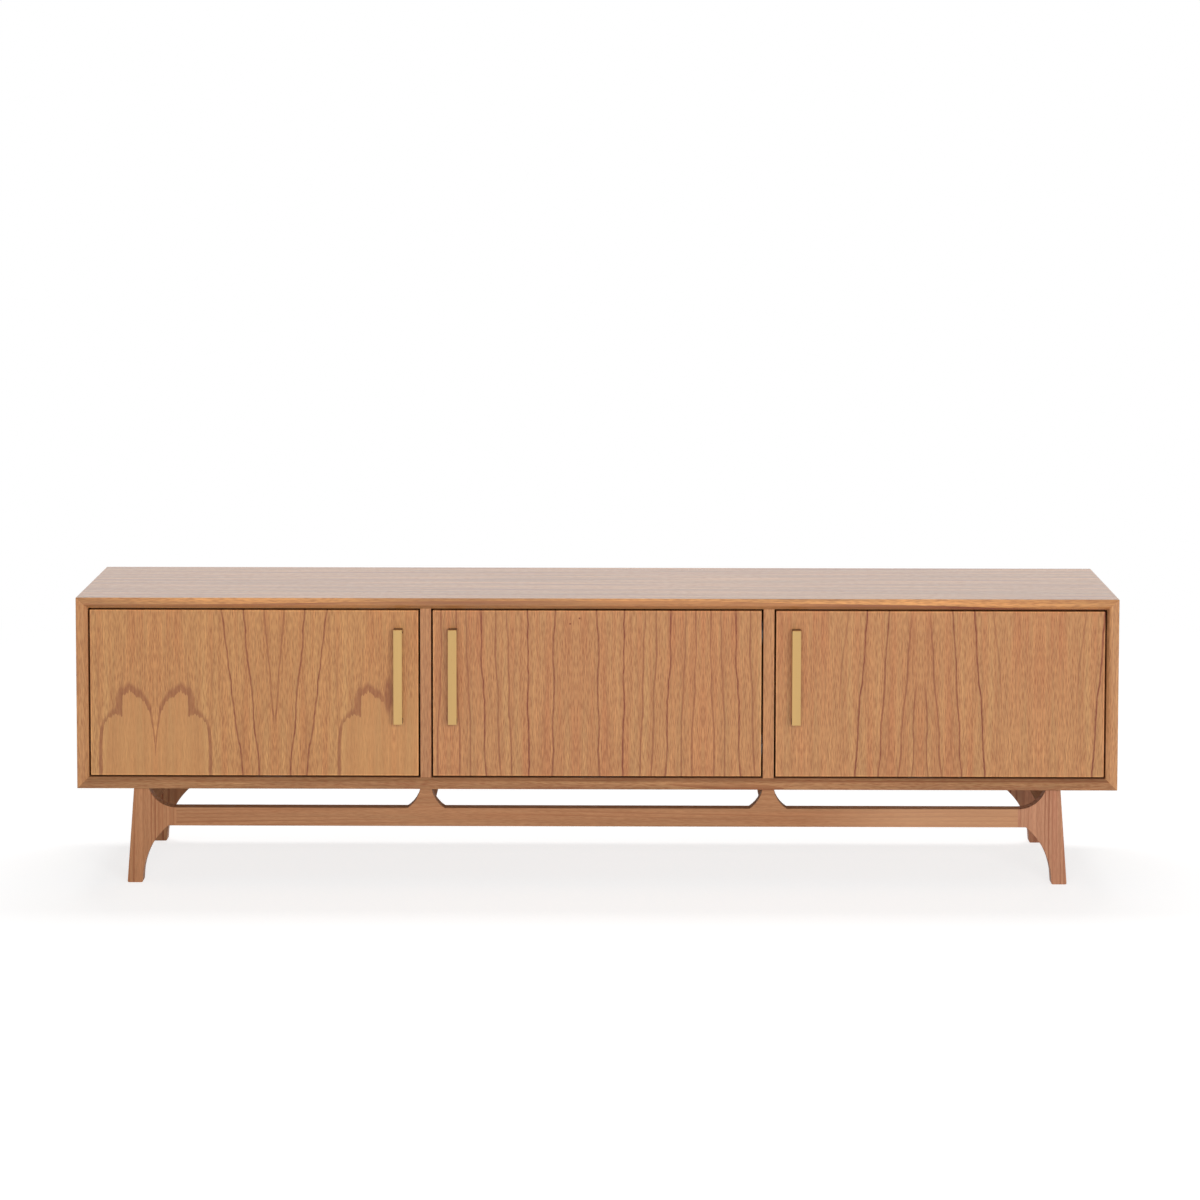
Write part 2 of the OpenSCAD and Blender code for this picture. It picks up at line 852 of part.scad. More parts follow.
module catch_housings() {
    color(dark_plastic) for (door = DOORS) hang(door) difference() {
        at_catch() block([-catch_l / 2, 0, 0], [catch_l / 2, catch_d, catch_h]);
        magnet();
        at_catch_screws() catch_screw_hole();
    }
}

module catch_magnets() { color(steel) for (door = DOORS) hang(door) magnet(); }

// The two screws of a catch, their heads sunk so far that the tips stay in the top board
module at_catch_screws() {
    at_catch() for (s = SIDES)
        translate([s * catch_screw_x, catch_d / 2, catch_h - screw_l / 4])
            mirror([0, 0, 1]) children();
}

module catch_screw_hole() {
    small_screw_hole();
    cylinder(h = catch_h, r = screw_head_r + fit);
}

module at_strike_screw() {
    translate([catch_x, door_rear + strike_t, strike_z + strike_h / 2]) to_back() children();
}

module strike_plate(door) {
    color(steel) hang(door) difference() {
        block(
            [catch_x - strike_l / 2, door_rear, strike_z],
            [catch_x + strike_l / 2, door_rear + strike_t, strike_z + strike_h]
        );
        at_strike_screw() small_screw_hole();
    }
}

// The screws of the hinge plates and the catches, in the case
module fitting_screws() {
    color(zinc) for (door = DOORS) hang(door) {
        at_plate_screws() small_screw();
        at_catch_screws() small_screw();
    }
}

top_panel();
bottom_panel();
side_panel(-1);  // left_side_panel
side_panel(1);  // right_side_panel
divider(-1);  // left_divider
divider(1);  // right_divider
back_panel(-1);  // left_back_panel
back_panel(0);  // centre_back_panel
back_panel(1);  // right_back_panel
back_panel_screws();
shelf(-1);  // left_shelf
shelf(0);  // centre_shelf
shelf(1);  // right_shelf
shelf_pins();
leg(-1, -1);  // front_left_leg
leg(1, -1);  // front_right_leg
leg(-1, 1);  // rear_left_leg
leg(1, 1);  // rear_right_leg
rail(-1);  // front_rail
rail(1);  // rear_rail
bearer(-1, 0);  // left_end_bearer
bearer(-1, 1);  // left_post_bearer
bearer(1, 1);  // right_post_bearer
bearer(1, 0);  // right_end_bearer
rail_dowels();
bearer_dowels();
base_screws();
catch_housings();
catch_magnets();
fitting_screws();
hinge_arm_screws();
hinge_plates(LEFT);  // left_hinge_plates
hinge_arms(LEFT);  // left_hinge_arms
hinge_plates(CENTRE);  // centre_hinge_plates
hinge_arms(CENTRE);  // centre_hinge_arms
hinge_plates(RIGHT);  // right_hinge_plates
hinge_arms(RIGHT);  // right_hinge_arms
door_panel(LEFT);  // left_door_panel
pull(LEFT);  // left_pull
pull_screws(LEFT);  // left_pull_screws
hinge_cups(LEFT);  // left_hinge_cups
hinge_pins(LEFT);  // left_hinge_pins
door_screws(LEFT);  // left_door_screws
strike_plate(LEFT);  // left_strike_plate
door_panel(CENTRE);  // centre_door_panel
pull(CENTRE);  // centre_pull
pull_screws(CENTRE);  // centre_pull_screws
hinge_cups(CENTRE);  // centre_hinge_cups
hinge_pins(CENTRE);  // centre_hinge_pins
door_screws(CENTRE);  // centre_door_screws
strike_plate(CENTRE);  // centre_strike_plate
door_panel(RIGHT);  // right_door_panel
pull(RIGHT);  // right_pull
pull_screws(RIGHT);  // right_pull_screws
hinge_cups(RIGHT);  // right_hinge_cups
hinge_pins(RIGHT);  // right_hinge_pins
door_screws(RIGHT);  // right_door_screws
strike_plate(RIGHT);  // right_strike_plate
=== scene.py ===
import json
import math

import bmesh
import bpy
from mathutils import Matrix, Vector


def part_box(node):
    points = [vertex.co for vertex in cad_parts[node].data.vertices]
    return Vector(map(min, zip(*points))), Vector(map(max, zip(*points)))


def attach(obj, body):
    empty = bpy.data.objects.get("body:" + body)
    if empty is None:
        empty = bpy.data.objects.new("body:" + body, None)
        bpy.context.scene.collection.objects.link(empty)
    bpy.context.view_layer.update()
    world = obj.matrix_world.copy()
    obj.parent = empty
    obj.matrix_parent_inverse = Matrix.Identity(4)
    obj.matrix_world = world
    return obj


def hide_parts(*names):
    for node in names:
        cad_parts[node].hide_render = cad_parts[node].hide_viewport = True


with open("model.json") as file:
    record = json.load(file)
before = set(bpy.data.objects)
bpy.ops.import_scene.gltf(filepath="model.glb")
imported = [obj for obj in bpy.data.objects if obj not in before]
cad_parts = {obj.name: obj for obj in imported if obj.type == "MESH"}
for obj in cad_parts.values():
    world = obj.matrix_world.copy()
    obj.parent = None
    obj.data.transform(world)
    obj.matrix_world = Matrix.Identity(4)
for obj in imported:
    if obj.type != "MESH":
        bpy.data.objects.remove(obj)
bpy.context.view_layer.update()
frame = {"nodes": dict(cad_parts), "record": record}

# Case boards: top, bottom and two sides of veneered board, 19 to 20 mm thick, mitred and glued
# at the four corners, with a bevel round the inner front edge and a rebate for the back panels.
# The grain runs along each board. All arrises are eased with fine sandpaper.


def tone(colour):
    """A colour written as sRGB hex, in the linear values that a shader takes."""
    parts = [int(colour[i:i + 2], 16) / 255 for i in (1, 3, 5)]
    linear = [p / 12.92 if p <= 0.04045 else ((p + 0.055) / 1.055) ** 2.4 for p in parts]
    return (*linear, 1.0)


def add(tree, kind, *inputs, out=0, sockets=None, **settings):
    """Adds a shader node and gives one of its outputs.

    The inputs fill its sockets in order, and sockets fills others by name or number, each with a
    value or with another node's output.
    """
    node = tree.nodes.new("ShaderNode" + kind)
    for name, value in settings.items():
        setattr(node, name, value)
    for name, value in [*enumerate(inputs), *(sockets or {}).items()]:
        if isinstance(value, bpy.types.NodeSocket):
            tree.links.new(value, node.inputs[name])
        else:
            node.inputs[name].default_value = value
    return node.outputs[out] if node.outputs else None


def finish_tree(name):
    """A new material, and its empty tree."""
    material = bpy.data.materials.new(name)
    material.use_nodes = True
    material.node_tree.nodes.clear()
    return material, material.node_tree


# The noise texture seldom leaves this range
NOISE_RANGE = (0.3, 0.7)


def flecks(tree, place, width, length, low, high, detail=2.0):
    """A value from low to high in flecks of that width across the grain and length along it."""
    spread = add(tree, "Mapping", place, sockets={"Scale": (1 / width, 1 / width, 1 / length)})
    cloud = add(tree, "TexNoise", spread, sockets={"Scale": 1.0, "Detail": detail})
    return add(tree, "MapRange", cloud, *NOISE_RANGE, low, high)


# Width and length of each kind of mark in the wood
TINT_MARK = (0.014, 0.35)
BAND_MARK = (0.011, 0.4)
FIBRE_MARK = (0.0014, 0.03)
PORE_MARK = (0.0011, 0.015)
# How light the fibres are, at least and at most
FIBRE_RANGE = (0.86, 1.17)
# Where a pore's wall starts and ends, as distances from its middle in marks, how deep the pore is,
# and how much rougher it is than the lacquer round it
PORE_WALL = (0.2, 0.55)
PORE_DEPTH = 0.0001
PORE_ROUGH = 0.14
# Late wood colours the growth lines, and, at half strength, the pores
LATE_WOOD = "#7a3822"
PORE_DARK = 0.5
# Refractive index of lacquer and plastic, and the roughness of the topmost coat
RESIN_IOR = 1.5
COAT_ROUGH = 0.25


def lacquered(tree, place, light, deep, lines=0.0, bands=0.08, rough=0.36, gloss=0.5, coat=0.15,
              calm=0.0, lift=1.0):
    """Open-pored wood under satin lacquer, with its fibres along the third axis of place.

    The eye sees bands of two tones, fine streaks, short dark pores and red-brown growth lines.
    Real pores are 0.3 mm wide; these are drawn a millimetre wide, so that they still show.
    Calm wood has few pores and streaks, and lift makes it lighter by a factor.
    """
    tint = flecks(tree, place, *TINT_MARK, 0.0, 1.0)
    body = add(tree, "Mix", sockets={0: tint, 6: tone(light), 7: tone(deep)},
               out=2, data_type="RGBA")
    band = flecks(tree, place, *BAND_MARK, 1 - bands, 1 + bands)
    fibre = flecks(tree, place, *FIBRE_MARK, *FIBRE_RANGE, detail=3.0)
    fibre = add(tree, "Mix", sockets={0: calm, 2: fibre, 3: 1.0})
    width, length = PORE_MARK
    cells = add(tree, "Mapping", place, sockets={"Scale": (1 / width, 1 / width, 1 / length)})
    pores = add(tree, "TexVoronoi", cells, sockets={"Scale": 1.0})
    pores = add(tree, "MapRange", pores, *PORE_WALL, 1.0, 0.0)
    shade = add(tree, "Math", fibre, band, operation="MULTIPLY")
    shade = add(tree, "Math", shade, lift, operation="MULTIPLY")
    body = add(tree, "VectorMath", body, sockets={"Scale": shade}, operation="SCALE")
    faint = add(tree, "MapRange", calm, 0.0, 1.0, PORE_DARK, 0.0)
    dark = add(tree, "Math", pores, faint, operation="MULTIPLY")
    dark = add(tree, "Math", dark, lines, operation="MAXIMUM")
    colour = add(tree, "Mix", sockets={0: dark, 6: body, 7: tone(LATE_WOOD)},
                 out=2, data_type="RGBA")
    relief = add(tree, "Bump", invert=True, sockets={
        "Height": pores, "Strength": 0.5, "Distance": PORE_DEPTH,
    })
    surface = add(tree, "BsdfPrincipled", sockets={
        "Base Color": colour,
        "Roughness": add(tree, "MapRange", pores, 0.0, 1.0, rough, rough + PORE_ROUGH),
        "Normal": relief, "IOR": RESIN_IOR, "Specular IOR Level": gloss,
        "Coat Weight": coat, "Coat Roughness": COAT_ROUGH,
    })
    add(tree, "OutputMaterial", surface)


case_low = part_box("bottom_panel")[0]
case_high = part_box("top_panel")[1]
case_middle = (case_low + case_high) / 2

# The turn that brings each grain direction to the third axis
TURN = {"X": (0, math.radians(-90), 0), "Y": (math.radians(90), 0, 0), "Z": (0, 0, 0)}
# Width of a yearly ring, the length of a ring at the wave texture's scale of 1, how far the rings
# wander, how often they do so in each direction, and the share of a ring before late wood starts
RING = 0.0065
WAVE_PERIOD = math.tau / 20
WANDER = 0.03
WANDER_SCALE = (11, 11, 1.4)
EARLY_SHARE = 0.55
# Depth of the strip on a board's front edge, and the width of its fade to the board
STRIP = 0.0015
STRIP_FADE = 0.0005


def timber(name, grain, shift, light="#c38e5c", deep="#bb8152", lines=0.35, ring=RING, strip=1.0,
           **finish):
    """Sawn wood, its fibres along one axis, from a log whose pith lies shift away.

    The yearly rings cut the surface in long, slightly wandering lines, which are as dark as lines
    says. The strip glued on in front is lighter or darker by the factor strip.
    """
    material, tree = finish_tree(name)
    place = add(tree, "TexCoord", out="Object")
    front = add(tree, "SeparateXYZ", place, out="Y")
    strip_end = case_low.y + STRIP
    front = add(tree, "MapRange", front, strip_end, strip_end + STRIP_FADE, strip, 1.0)
    place = add(tree, "Mapping", place, shift, TURN[grain])
    sway = add(tree, "Mapping", place, sockets={"Scale": WANDER_SCALE})
    sway = add(tree, "TexNoise", sway, out="Color", sockets={"Scale": 1.0, "Detail": 1.0})
    bent = add(tree, "VectorMath", sway, (WANDER, WANDER, 0), place, operation="MULTIPLY_ADD")
    rings = add(tree, "TexWave", bent, WAVE_PERIOD / ring, wave_type="RINGS",
                rings_direction="Z", wave_profile="SAW")
    late = add(tree, "MapRange", rings, EARLY_SHARE, 1.0, 0.0, 1.0)
    fade = flecks(tree, place, 2 * ring, 0.5, 0.0, lines)
    drawn = add(tree, "Math", late, fade, operation="MULTIPLY")
    lacquered(tree, place, light, deep, drawn, lift=front, **finish)
    return material


# Radius of the eased arrises, and of the outer corners where two boards meet at a mitre
ARRIS = 0.0008
CORNER = 0.0012
# Points closer than this are one, edges within this distance lie in a plane, and edges longer
# than this run along their board or bar
MERGE = 1e-6
TOUCH = 1e-5
LONG = 0.1
# Faces that meet at less than the first angle are one. Edges past the second one are eased, and
# those past the third one stay crisp.
FLAT = math.radians(0.5)
SHARP = math.radians(25)
CRISP = math.radians(40)


def lies_on(edge, axis, value):
    """Whether an edge lies in the plane where that axis has that value."""
    return all(abs(vert.co[axis] - value) < TOUCH for vert in edge.verts)


def runs_along(edge, axis):
    """Whether an edge is parallel to that axis."""
    start, end = (vert.co for vert in edge.verts)
    return abs((start - end).normalized()[axis]) > 0.99


def merged(node):
    """A bmesh copy of a CAD node, with its loose triangles joined into whole faces."""
    bm = bmesh.new()
    bm.from_mesh(frame["nodes"][node].data)
    bmesh.ops.remove_doubles(bm, verts=bm.verts, dist=MERGE)
    bmesh.ops.dissolve_limit(bm, angle_limit=FLAT, verts=bm.verts, edges=bm.edges)
    return bm


def ease(bm, radius, chosen, segments=3):
    """Rounds the sharp outward edges that are chosen."""
    bm.edges.ensure_lookup_table()
    edges = [
        e for e in bm.edges
        if e.is_manifold and e.is_convex and e.calc_face_angle() > SHARP and chosen(e)
    ]
    bmesh.ops.bevel(
        bm, geom=edges, offset=radius, offset_type="OFFSET", segments=segments,
        profile=0.5, affect="EDGES", material=-1,
    )


body_of = {
    node: body
    for body, nodes in frame["record"]["behaviour"]["bodies"].items()
    for node in nodes
}


def place_piece(bm, name, material, *nodes):
    """Makes the finished piece, which stands for those CAD nodes and rides on their body."""
    for face in bm.faces:
        face.smooth = True
    for edge in bm.edges:
        edge.smooth = edge.is_manifold and edge.calc_face_angle(0) < CRISP
    mesh = bpy.data.meshes.new(name)
    bm.to_mesh(mesh)
    bm.free()
    mesh.materials.append(material)
    piece = bpy.data.objects.new(name, mesh)
    bpy.context.scene.collection.objects.link(piece)
    weighted = piece.modifiers.new("flat_faces", "WEIGHTED_NORMAL")
    weighted.keep_sharp = True
    weighted.weight = 100
    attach(piece, body_of[nodes[0]])
    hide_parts(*nodes)
    return piece


def slice_off(bm, point, normal):
    """Planes away what lies beyond a plane, and closes the cut."""
    cut = bmesh.ops.bisect_plane(
        bm, geom=bm.verts[:] + bm.edges[:] + bm.faces[:], dist=MERGE,
        plane_co=point, plane_no=normal, clear_outer=True,
    )
    rim = [e for e in cut["geom_cut"] if isinstance(e, bmesh.types.BMEdge)]
    bmesh.ops.contextual_create(bm, geom=rim)


BOARDS = {
    "top_panel": dict(grain="X", shift=(-0.45, 0.5, 0.0), light="#b9834d", deep="#ae7642",
                      lines=1.0, ring=0.028, strip=1.23, bands=0.3, coat=0.65),
    "bottom_panel": dict(grain="X", shift=(0.16, 0.21, 0.7), light="#aa7f58", deep="#976b4c",
                         lines=0.8, strip=1.16, bands=0.2, rough=0.5, gloss=0.2, coat=0.0),
    "left_side_panel": dict(grain="Z", shift=(1.22, 0.17, 0.3)),
    "right_side_panel": dict(grain="Z", shift=(-1.19, 0.14, 0.9), light="#cb9666", deep="#c38a5a"),
}
for node, wood in BOARDS.items():
    length_axis = "XYZ".index(wood["grain"])
    board_low, board_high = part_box(node)
    half = (board_high - board_low)[length_axis] / 2
    bm = merged(node)
    ease(bm, ARRIS, lambda e: e.calc_length() > half and runs_along(e, length_axis))
    # Three small cuts round off each outer corner of the case
    for across in (-1, 1):
        for up in (-1, 1):
            corner = Vector((
                (case_low, case_high)[across > 0].x - across * CORNER, 0,
                (case_low, case_high)[up > 0].z - up * CORNER,
            ))
            for angle in (22.5, 45, 67.5):
                turn = math.radians(angle)
                normal = Vector((across * math.cos(turn), 0, up * math.sin(turn)))
                slice_off(bm, corner + CORNER * normal, normal)
    place_piece(bm, node + "_board", timber(node + "_lacquered_veneer", **wood), node)

# Dividers: two veneered boards between top and bottom, set back level with the doors.
# The grain stands upright. They carry shelf pins, and the right one the middle door's hinges.
DIVIDERS = {
    "left_divider": dict(shift=(0.47, 0.16, 0.2), light="#b9855a", deep="#b17a50"),
    "right_divider": dict(shift=(-0.11, 0.15, 1.3), light="#c18b5c", deep="#b97f51"),
}
for node, wood in DIVIDERS.items():
    low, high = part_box(node)
    bm = merged(node)
    # Only the two long edges in front show
    ease(bm, ARRIS, lambda e: lies_on(e, 1, low.y) and e.calc_length() > LONG)
    place_piece(bm, node + "_board", timber(node + "_lacquered_veneer", "Z", **wood), node)

# Back panels: 6 mm plywood in the rebates, screwed on from behind, with one round outlet for
# cables in each. Its face veneer stands upright and has a thin coat, so it is browner and duller
# than the case.
BACK_SHIFTS = {"left": (0.7, 0.2, 0.1), "centre": (0.1, 0.25, 0.6), "right": (-0.5, 0.2, 1.7)}
for bay, shift in BACK_SHIFTS.items():
    node = bay + "_back_panel"
    bm = merged(node)
    material = timber(node + "_plywood", "Z", shift, "#b2815a", "#a87550", 0.25, coat=0.05)
    place_piece(bm, node + "_sheet", material, node)

# Shelves: loose veneered boards, 18 mm thick, with the grain from side to side and a lipped
# front edge. Each lies on four steel pins with a flat on top.
SHELF_SHIFTS = {"left": (0.2, 0.3, 0.4), "centre": (0.25, 0.33, 1.1), "right": (0.3, 0.28, 2.0)}
for bay, shift in SHELF_SHIFTS.items():
    node = bay + "_shelf"
    bm = merged(node)
    ease(bm, ARRIS, lambda e: True)
    place_piece(bm, node + "_board", timber(node + "_lacquered_veneer", "X", shift), node)


# Width of the broad patches on metal and how light they are, and the depth of its fine marks
PATCH = 0.012
PATCH_RANGE = (0.94, 1.02)
MARK_DEPTH = 0.00002


def metal(name, colour, roughness, spread, grit=0.0006, stretch=1.0):
    """Metal whose roughness varies by spread, in marks that are grit wide.

    They are stretch times as tall, and wider than real ones, so that they show from a step away.
    """
    material, tree = finish_tree(name)
    place = add(tree, "TexCoord", out="Object")
    marks = flecks(tree, place, grit, grit * stretch, 0.0, 1.0, detail=3.0)
    dull = flecks(tree, place, PATCH, PATCH * stretch, *PATCH_RANGE)
    body = add(tree, "VectorMath", tone(colour)[:3], sockets={"Scale": dull}, operation="SCALE")
    polish = add(tree, "MapRange", marks, 0.0, 1.0, roughness - spread, roughness + spread)
    relief = add(tree, "Bump", sockets={"Height": marks, "Strength": 0.2, "Distance": MARK_DEPTH})
    surface = add(tree, "BsdfPrincipled", sockets={
        "Base Color": body, "Roughness": polish, "Normal": relief, "Metallic": 1.0,
    })
    add(tree, "OutputMaterial", surface)
    return material


def dress(node, material):
    """Gives a CAD node its material."""
    mesh = frame["nodes"][node].data
    mesh.materials.clear()
    mesh.materials.append(material)


# Nickel plating has a soft, even grey shine
nickel = metal("nickel_plated_steel", "#b9bbbf", 0.42, 0.08)
dress("shelf_pins", nickel)

# Base frames: front and rear, each of two legs and a rail, sawn from solid wood 28 mm thick, with
# one dull coat, dowelled and glued beside each leg. The legs splay out, with a round knee above
# the rail and an arch below it. Their grain runs upright and the rail's across.

# The arrises, and the shortest edge that still has room for one
FRAME_ARRIS = 0.001
SHORTEST = 0.0006
BASE_WOOD = dict(
    light="#b68660", deep="#ad7a56", lines=0.6, rough=0.52, gloss=0.2, coat=0.0, calm=0.5,
)
# Towards the right end of each rail the wood grows paler and pinker
PALE_END = dict(start=0.36, end=0.54, most=0.3, colour="#e8b48c")
LEG_TONES = {
    "left": dict(light="#b98660", deep="#af7a56", lines=0.9),
    "right": dict(light="#c39070", deep="#bb8366", lines=0.9),
}


def turned_towards(material, axis, start, end, most, colour):
    """Takes a finish towards another colour along an axis, by a share that grows to most."""
    tree = material.node_tree
    shader = next(node for node in tree.nodes if node.type == "BSDF_PRINCIPLED")
    place = add(tree, "SeparateXYZ", add(tree, "TexCoord", out="Object"), out=axis)
    share = add(tree, "MapRange", place, start, end, 0.0, most)
    plain = shader.inputs["Base Color"].links[0].from_socket
    mixed = add(tree, "Mix", sockets={0: share, 6: plain, 7: tone(colour)},
                out=2, data_type="RGBA")
    tree.links.new(mixed, shader.inputs["Base Color"])


for end in ("front", "rear"):
    node = end + "_rail"
    low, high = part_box(node)
    bm = merged(node)
    ease(bm, FRAME_ARRIS, lambda e: e.calc_length() > SHORTEST
         and (lies_on(e, 1, low.y) or lies_on(e, 1, high.y))
         and not (lies_on(e, 0, low.x) or lies_on(e, 0, high.x)))
    shift = (0.22, 0.1 if end == "front" else 0.3, 0.5)
    material = timber(node + "_solid_wood", "X", shift, **BASE_WOOD)
    turned_towards(material, "X", **PALE_END)
    place_piece(bm, node + "_bar", material, node)
    for side in ("left", "right"):
        node = f"{end}_{side}_leg"
        low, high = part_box(node)
        seam = high.x if side == "left" else low.x
        bm = merged(node)
        ease(bm, FRAME_ARRIS, lambda e: e.calc_length() > SHORTEST
             and (lies_on(e, 1, low.y) or lies_on(e, 1, high.y))
             and not lies_on(e, 0, seam))
        shift = (0.95 if side == "left" else -0.6, 0.15 if end == "front" else 0.4, 0.2)
        wood = BASE_WOOD | LEG_TONES[side]
        material = timber(node + "_solid_wood", "Z", shift, **wood)
        place_piece(bm, node + "_post", material, node)

# Bearers: four solid bars from the front frame to the rear one, flush under the case and dowelled
# to the legs and posts. The case is screwed down through them. They have one thin sealing coat
# and are duller than the frames.
for number, node in enumerate((
    "left_end_bearer", "left_post_bearer", "right_post_bearer", "right_end_bearer",
)):
    bm = merged(node)
    ease(bm, FRAME_ARRIS, lambda e: e.calc_length() > LONG)
    wood = BASE_WOOD | dict(rough=0.8, gloss=0.05)
    material = timber(node + "_sealed_wood", "Y", (0.3 + number, 0.2, 0.4), **wood)
    place_piece(bm, node + "_bar", material, node)

# Dowels: beech pegs, turned and left bare, pale and with little figure. They are glued into the
# joints of the frames, out of sight.
beech = timber("turned_beech", "X", (0.2, 0.1, 0.0), "#dcc19a", "#d2b48a", 0.1, coat=0.0)
for node in ("rail_dowels", "bearer_dowels"):
    dress(node, beech)

# Screws: zinc-plated steel, with countersunk or pan heads, a little brighter and bluer than the
# nickel. They hold the base, the back panels, the catches and the hinges.
zinc = metal("zinc_plated_steel", "#c6c9cd", 0.36, 0.08)
for node in ("base_screws", "back_panel_screws", "fitting_screws", "hinge_arm_screws"):
    dress(node, zinc)

# Catches: a pressed ferrite magnet in a housing of dark moulded ABS, held by two screws up into
# the top board. Both are dull, with a fine even grain.

# Width and depth of the grain, and how much the roughness varies with it
GRAIN = 0.0004
GRAIN_DEPTH = 0.00005
GRAIN_SPREAD = 0.05
# Width of the uneven patches of colour, and how light they are
UNEVEN = 0.006
UNEVEN_RANGE = (0.9, 1.1)


def moulded(name, colour, roughness):
    """Moulded or pressed material with a fine even grain and a soft dull light."""
    material, tree = finish_tree(name)
    place = add(tree, "TexCoord", out="Object")
    grain = flecks(tree, place, GRAIN, GRAIN, 0.0, 1.0, detail=1.0)
    tint = flecks(tree, place, UNEVEN, UNEVEN, *UNEVEN_RANGE)
    body = add(tree, "VectorMath", tone(colour)[:3], sockets={"Scale": tint}, operation="SCALE")
    relief = add(tree, "Bump", sockets={"Height": grain, "Strength": 0.3, "Distance": GRAIN_DEPTH})
    dull = add(tree, "MapRange", grain, 0.0, 1.0, roughness - GRAIN_SPREAD,
               roughness + GRAIN_SPREAD)
    surface = add(tree, "BsdfPrincipled", sockets={
        "Base Color": body, "Roughness": dull, "Normal": relief, "IOR": RESIN_IOR,
    })
    add(tree, "OutputMaterial", surface)
    return material


dress("catch_housings", moulded("dark_abs", "#4a4644", 0.45))
dress("catch_magnets", moulded("pressed_ferrite", "#3c3b3a", 0.6))

# Hinges and strike plates: pressed from steel and nickel-plated. Each hinge has a plate on the
# case, a gooseneck arm, a pin, and a cup let into the door.
for bay in ("left", "centre", "right"):
    for part in ("hinge_plates", "hinge_arms", "hinge_cups", "hinge_pins", "strike_plate"):
        dress(f"{bay}_{part}", nickel)
    for part in ("door_screws", "pull_screws"):
        dress(f"{bay}_{part}", zinc)

# Doors: 18 mm board with book-matched veneer, each leaf the mirror image of its neighbour, so
# that the dark growth lines pair up about the seams. The edges have a thin lighter band, partly
# lipping and partly a painted highlight where the eased edges catch the light.

DOOR_ARRIS = 0.001
# Width of the lighter band at each door edge, part lipping and part painted highlight, and how
# much lighter it is than the veneer
LIPPING_AND_HIGHLIGHT_WIDTH = 0.0026
LIPPING_AND_HIGHLIGHT_LIFT = 1.22
# Half the width of a growth line, the width and darkness of the blush beside it, and the share of
# the height over which it fades at its ends
LINE = 0.0027
BLUSH = 0.010
BLUSH_DARK = 0.2
LINE_FADE = 0.1
# Width and length of the lines' broad and fine wavers, and how far they go to either side
SWAY = (0.05, 0.07, -0.002, 0.002)
SHAKE = (0.02, 0.012, -0.0004, 0.0004)
# Width and length of the breaks in the lines, and how dark a line is there and in between
BREAKS = (0.003, 0.014, 0.7, 1.15)
# The centre door's two pin knots, each by its place along the door and its depth below the top
# edge, and their radius
PIN_KNOTS = [(-0.0465, 0.023), (-0.0305, 0.0135)]
PIN_KNOT = 0.0024
# Where a seam between two leaves lies on each door, and how wide a leaf is. For each line: its
# distance from the seam at the door's top and foot in millimetres, how dark it is, and how far
# down it starts and ends as shares of the height.
FIGURES = {
    "left": dict(seam=-0.558, leaf=0.2066, hearts=True, light="#c5925c", deep="#bd8250", lines=[
        (91, 55, 0.9, 0.0, 1.0), (53, 27, 0.9, 0.0, 1.0), (18, -9, 0.6, 0.0, 0.64),
        (112, 104, 0.3, 0.25, 0.5), (152, 152, 0.4, 0.25, 0.42),
    ]),
    "centre": dict(seam=-0.0367, leaf=0.220, knots=PIN_KNOTS, lines=[
        (37, 41, 0.95, 0.0, 1.0), (84, 80, 1.0, 0.0, 1.0), (119, 111, 0.7, 0.0, 1.0),
        (140, 131, 0.65, 0.0, 1.0), (165, 156, 0.95, 0.0, 1.0), (190, 182, 0.65, 0.0, 1.0),
        (209, 200, 0.7, 0.0, 1.0),
    ]),
    "right": dict(seam=0.5589, leaf=0.205, lines=[
        (92, 113, 1.0, 0.0, 1.0), (54.5, 72, 0.85, 0.0, 1.0), (15, 38, 0.75, 0.1, 1.0),
        (2, 14, 0.7, 0.5, 1.0), (124, 158, 0.5, 0.0, 0.45),
    ]),
}
# The left door's hearts are the pale middles of the veneer's figure. Height of a lobe's edge above
# the door's foot at each distance from the heart's middle, in millimetres.
LOBE = [
    (0, 30), (2.3, 76), (9.4, 113), (18, 127), (31, 139), (46, 146), (54, 141), (56, 104),
    (72, 106), (84, 98), (89, 86), (91.5, 55), (92, -40),
]
LOBE_TOP = 200
# Width and length of the rags along a lobe's edge and how far they go up and down, and half the
# width over which that edge is soft
RAGS = (0.004, 0.05, -0.004, 0.004)
LOBE_SOFT = 0.001
# The dark band round a heart: its width in the cleft and elsewhere, where the cleft ends, how much
# slimmer it grows down the outer side, where that starts and ends, how its outer edge fades, and
# its darkness. The heart inside it is calmer by a share.
CLEFT_BAND = 0.0015
BAND = 0.015
CLEFT = 0.03
SLIM_BAND = 0.4
OUTER_SIDE = (0.056, 0.09)
BAND_FADE = (-0.005, 0.004)
BAND_DARK = 0.6
HEART_CALM = 0.6
# The right heart has a blunt dark tooth beside the pull, in place of a line down its middle. It
# fades between two shares of its size, and the band ends between two distances from it.
TOOTH = Vector((-0.361, 0, 0.141))
TOOTH_SIZE = (0.008, 1, 0.036)
TOOTH_DARK = 0.65
TOOTH_FADE = (0.6, 1.1)
BAND_END = (0.009, 0.005)
# The figure is only as deep as the veneer, and doesn't show on the door's inner face
VENEER = 0.004


